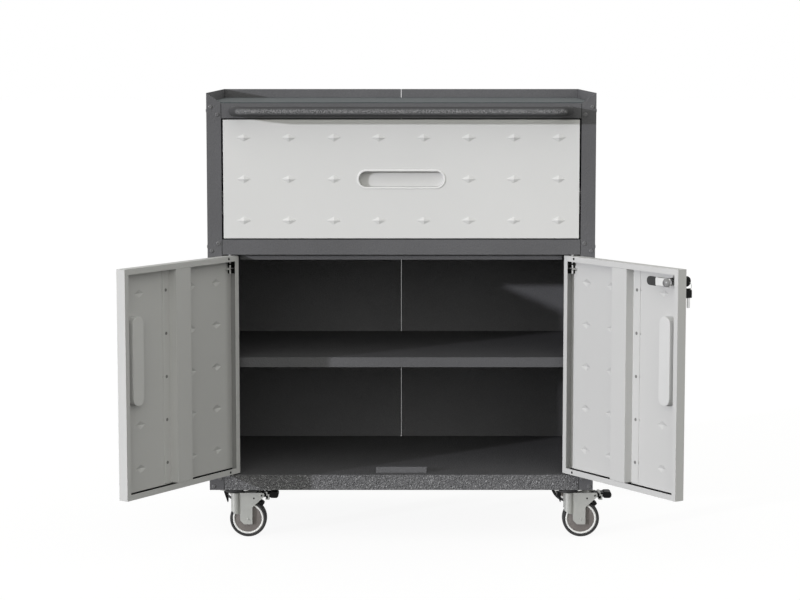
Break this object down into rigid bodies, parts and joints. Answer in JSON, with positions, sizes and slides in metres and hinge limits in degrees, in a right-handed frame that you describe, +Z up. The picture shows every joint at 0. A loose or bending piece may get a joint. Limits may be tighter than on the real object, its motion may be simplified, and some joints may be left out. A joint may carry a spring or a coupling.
{
  "type": "rolling tool cabinet",
  "caption": "Rolling steel tool cabinet on swivel castors: drawer over a two-door cupboard with a shelf, push handle, lipped worktop and a cam lock, doors stored open.",
  "frame": {"origin": "on the floor under the middle of the cabinet body", "axes": "+X to the right as seen from the front, +Y to the back, +Z up"},
  "size_m": [1.0826, 0.744, 0.9],
  "materials": {
    "body_paint": "dark grey hammered powder coat",
    "mat_rubber": "grey-green ribbed rubber",
    "door_paint": "light grey satin powder coat",
    "pull_plastic": "light grey moulded plastic",
    "tray_paint": "light grey satin powder coat",
    "zinc_steel": "zinc plated",
    "dark_screw": "blackened pan heads",
    "bright_steel": "bright turned steel",
    "lock_chrome": "chrome plated",
    "black_plastic": "black moulded key heads",
    "castor_steel": "bright zinc plated pressings",
    "tyre_rubber": "dark grey moulded rubber",
    "wheel_plastic": "pale moulded core with a taupe disc",
    "pedal_plastic": "black moulded pedal"
  },
  "bodies": {
    "cabinet": {"left_side_panel": "body_paint", "right_side_panel": "body_paint", "left_back_panel": "body_paint", "right_back_panel": "body_paint", "worktop": "body_paint", "worktop_mat": "mat_rubber", "mid_rail": "body_paint", "floor_panel": "body_paint", "door_stop": "body_paint", "shelf": "body_paint", "shelf_clips": "body_paint", "push_handle": "body_paint", "frame_screws": "dark_screw", "left_drawer_rail": "zinc_steel", "right_drawer_rail": "zinc_steel", "left_castor_beam": "body_paint", "right_castor_beam": "body_paint", "castor_bolts": "zinc_steel", "front_left_castor_plate": "castor_steel", "front_right_castor_plate": "castor_steel", "rear_left_castor_plate": "castor_steel", "rear_right_castor_plate": "castor_steel"},
    "drawer": {"drawer_front": "door_paint", "drawer_pull": "pull_plastic", "drawer_tray": "tray_paint", "left_drawer_runner": "zinc_steel", "right_drawer_runner": "zinc_steel"},
    "left_door": {"left_door_panel": "door_paint", "left_door_pull": "pull_plastic", "left_door_stiffener": "door_paint", "left_hinge_pin": "bright_steel"},
    "right_door": {"right_door_panel": "door_paint", "right_door_pull": "pull_plastic", "right_door_stiffener": "door_paint", "right_hinge_pin": "bright_steel", "lock_barrel": "lock_chrome", "lock_nut": "bright_steel"},
    "left_bolt": {"left_hinge_bolt": "bright_steel"},
    "right_bolt": {"right_hinge_bolt": "bright_steel"},
    "lock_plug": {"lock_cam": "lock_chrome", "lock_key": "black_plastic", "spare_key": "black_plastic"},
    "front_left_swivel": {"front_left_castor_fork": "castor_steel", "front_left_castor_axle": "castor_steel"},
    "front_left_wheel": {"front_left_castor_tyre": "tyre_rubber", "front_left_castor_core": "wheel_plastic"},
    "front_left_brake": {"front_left_brake_pedal": "pedal_plastic"},
    "front_right_swivel": {"front_right_castor_fork": "castor_steel", "front_right_castor_axle": "castor_steel"},
    "front_right_wheel": {"front_right_castor_tyre": "tyre_rubber", "front_right_castor_core": "wheel_plastic"},
    "front_right_brake": {"front_right_brake_pedal": "pedal_plastic"},
    "rear_left_swivel": {"rear_left_castor_fork": "castor_steel", "rear_left_castor_axle": "castor_steel"},
    "rear_left_wheel": {"rear_left_castor_tyre": "tyre_rubber", "rear_left_castor_core": "wheel_plastic"},
    "rear_right_swivel": {"rear_right_castor_fork": "castor_steel", "rear_right_castor_axle": "castor_steel"},
    "rear_right_wheel": {"rear_right_castor_tyre": "tyre_rubber", "rear_right_castor_core": "wheel_plastic"}
  },
  "joints": [
    {"name": "drawer_slide", "type": "slide", "parent": "cabinet", "child": "drawer", "axis": [0, -1, 0], "range_m": [0, 0.3]},
    {"name": "left_door_swing", "type": "hinge", "parent": "cabinet", "child": "left_door", "pos_m": [-0.341, -0.2225, 0.358], "axis": [0, 0, 1], "range_deg": [0, 123]},
    {"name": "right_door_swing", "type": "hinge", "parent": "cabinet", "child": "right_door", "pos_m": [0.341, -0.2225, 0.358], "axis": [0, 0, -1], "range_deg": [0, 123]},
    {"name": "left_bolt_draw", "type": "slide", "parent": "left_door", "child": "left_bolt", "axis": [0, 0, -1], "range_m": [0, 0.006], "stiffness_N_per_m": 300},
    {"name": "right_bolt_draw", "type": "slide", "parent": "right_door", "child": "right_bolt", "axis": [0, 0, -1], "range_m": [0, 0.006], "stiffness_N_per_m": 300},
    {"name": "lock_turn", "type": "hinge", "parent": "right_door", "child": "lock_plug", "pos_m": [0.51283, -0.4871, 0.5515], "axis": [0.8387, 0.5446, 0], "range_deg": [0, 90]},
    {"name": "front_left_swivel_turn", "type": "hinge", "parent": "cabinet", "child": "front_left_swivel", "pos_m": [-0.338, -0.176, 0.09], "axis": [0, 0, 1], "continuous": true},
    {"name": "front_left_wheel_spin", "type": "hinge", "parent": "front_left_swivel", "child": "front_left_wheel", "pos_m": [-0.311, -0.176, 0.0375], "axis": [0, 1, 0], "continuous": true},
    {"name": "front_left_brake_press", "type": "hinge", "parent": "front_left_swivel", "child": "front_left_brake", "pos_m": [-0.285, -0.176, 0.0877], "axis": [0, 1, 0], "range_deg": [0, 25]},
    {"name": "front_right_swivel_turn", "type": "hinge", "parent": "cabinet", "child": "front_right_swivel", "pos_m": [0.338, -0.176, 0.09], "axis": [0, 0, 1], "continuous": true},
    {"name": "front_right_wheel_spin", "type": "hinge", "parent": "front_right_swivel", "child": "front_right_wheel", "pos_m": [0.365, -0.176, 0.0375], "axis": [0, 1, 0], "continuous": true},
    {"name": "front_right_brake_press", "type": "hinge", "parent": "front_right_swivel", "child": "front_right_brake", "pos_m": [0.391, -0.176, 0.0877], "axis": [0, 1, 0], "range_deg": [0, 25]},
    {"name": "rear_left_swivel_turn", "type": "hinge", "parent": "cabinet", "child": "rear_left_swivel", "pos_m": [-0.338, 0.176, 0.09], "axis": [0, 0, 1], "continuous": true},
    {"name": "rear_left_wheel_spin", "type": "hinge", "parent": "rear_left_swivel", "child": "rear_left_wheel", "pos_m": [-0.36012, 0.19149, 0.0375], "axis": [-0.5736, -0.8192, 0], "continuous": true},
    {"name": "rear_right_swivel_turn", "type": "hinge", "parent": "cabinet", "child": "rear_right_swivel", "pos_m": [0.338, 0.176, 0.09], "axis": [0, 0, 1], "continuous": true},
    {"name": "rear_right_wheel_spin", "type": "hinge", "parent": "rear_right_swivel", "child": "rear_right_wheel", "pos_m": [0.365, 0.176, 0.0375], "axis": [0, 1, 0], "continuous": true}
  ]
}
